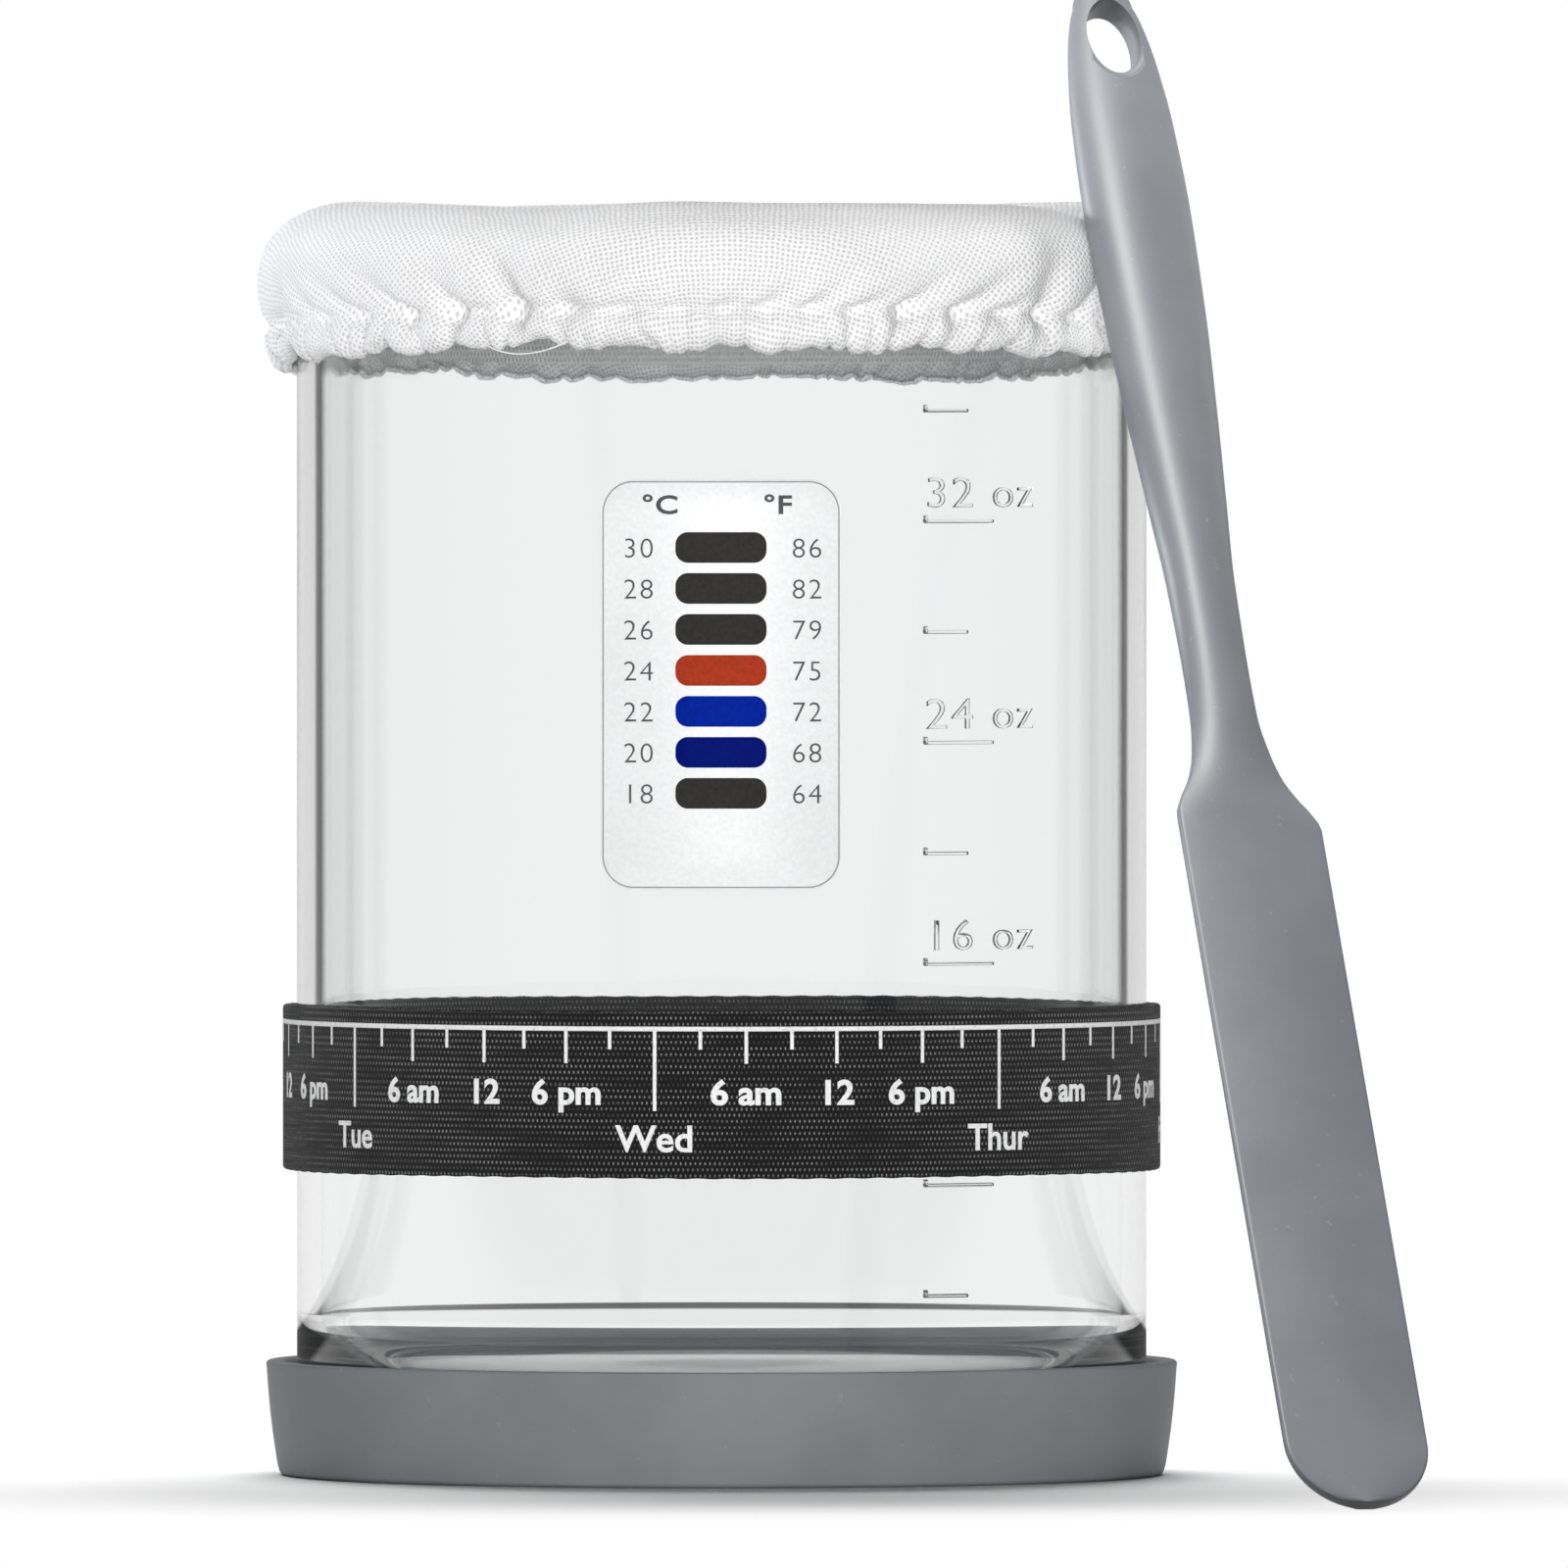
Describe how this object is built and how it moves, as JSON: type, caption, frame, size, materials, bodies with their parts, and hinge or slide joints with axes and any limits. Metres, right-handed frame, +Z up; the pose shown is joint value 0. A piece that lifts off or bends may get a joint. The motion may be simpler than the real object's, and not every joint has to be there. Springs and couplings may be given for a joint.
{
  "type": "sourdough starter jar",
  "caption": "Round straight-sided glass jar in a silicone base cup, with a gathered cloth cover, a sliding feeding band, a strip thermometer and a leaning silicone spatula.",
  "frame": {"origin": "centre of the base cup's underside, on the jar's axis", "axes": "+Z up along the jar's axis; the front, with the thermometer, faces -Y; the spatula leans at the front right, towards +X"},
  "size_m": [0.1479, 0.1983, 0.1917],
  "materials": {
    "base_silicone": "matte silicone",
    "jar_glass": "clear polished",
    "adhesive_film": "clear adhesive",
    "backing_film": "black film",
    "silver_print": "satin silver",
    "cell_dark": "gloss",
    "cell_red": "gloss",
    "cell_blue": "gloss",
    "clear_film": "clear satin laminate",
    "cotton_cloth": "coarse plain weave",
    "elastic_tape": "braided elastic",
    "black_webbing": "elastic webbing with printed marks",
    "band_rubber": "natural rubber",
    "spatula_silicone": "matte silicone",
    "core_nylon": "glass-filled nylon"
  },
  "bodies": {
    "base": {"base_cup": "base_silicone"},
    "jar": {"glass_jar": "jar_glass", "thermometer_adhesive": "adhesive_film", "thermometer_backing": "backing_film", "thermometer_face": "silver_print", "thermometer_cells_dark": "cell_dark", "thermometer_cells_red": "cell_red", "thermometer_cells_blue": "cell_blue", "thermometer_laminate": "clear_film"},
    "cover": {"cover_cloth": "cotton_cloth", "cover_elastic": "elastic_tape"},
    "band_slider": {"band_rubber_core": "band_rubber"},
    "band": {"band_webbing": "black_webbing"},
    "spatula": {"spatula_silicone": "spatula_silicone", "spatula_core": "core_nylon"}
  },
  "joints": [
    {"name": "jar_lift", "type": "slide", "parent": "base", "child": "jar", "axis": [0, 0, 1], "range_m": [0, 0.03]},
    {"name": "cover_lift", "type": "slide", "parent": "jar", "child": "cover", "axis": [0, 0, 1], "range_m": [0, 0.05]},
    {"name": "band_slide", "type": "slide", "parent": "jar", "child": "band_slider", "axis": [0, 0, 1], "range_m": [-0.022, 0.078]},
    {"name": "band_turn", "type": "hinge", "parent": "band_slider", "child": "band", "pos_m": [0, 0, 0.05], "axis": [0, 0, 1], "continuous": true},
    {"name": "spatula_away", "type": "slide", "parent": "cover", "child": "spatula", "axis": [0.7398, -0.499, 0.4514], "range_m": [0, 0.06]}
  ]
}
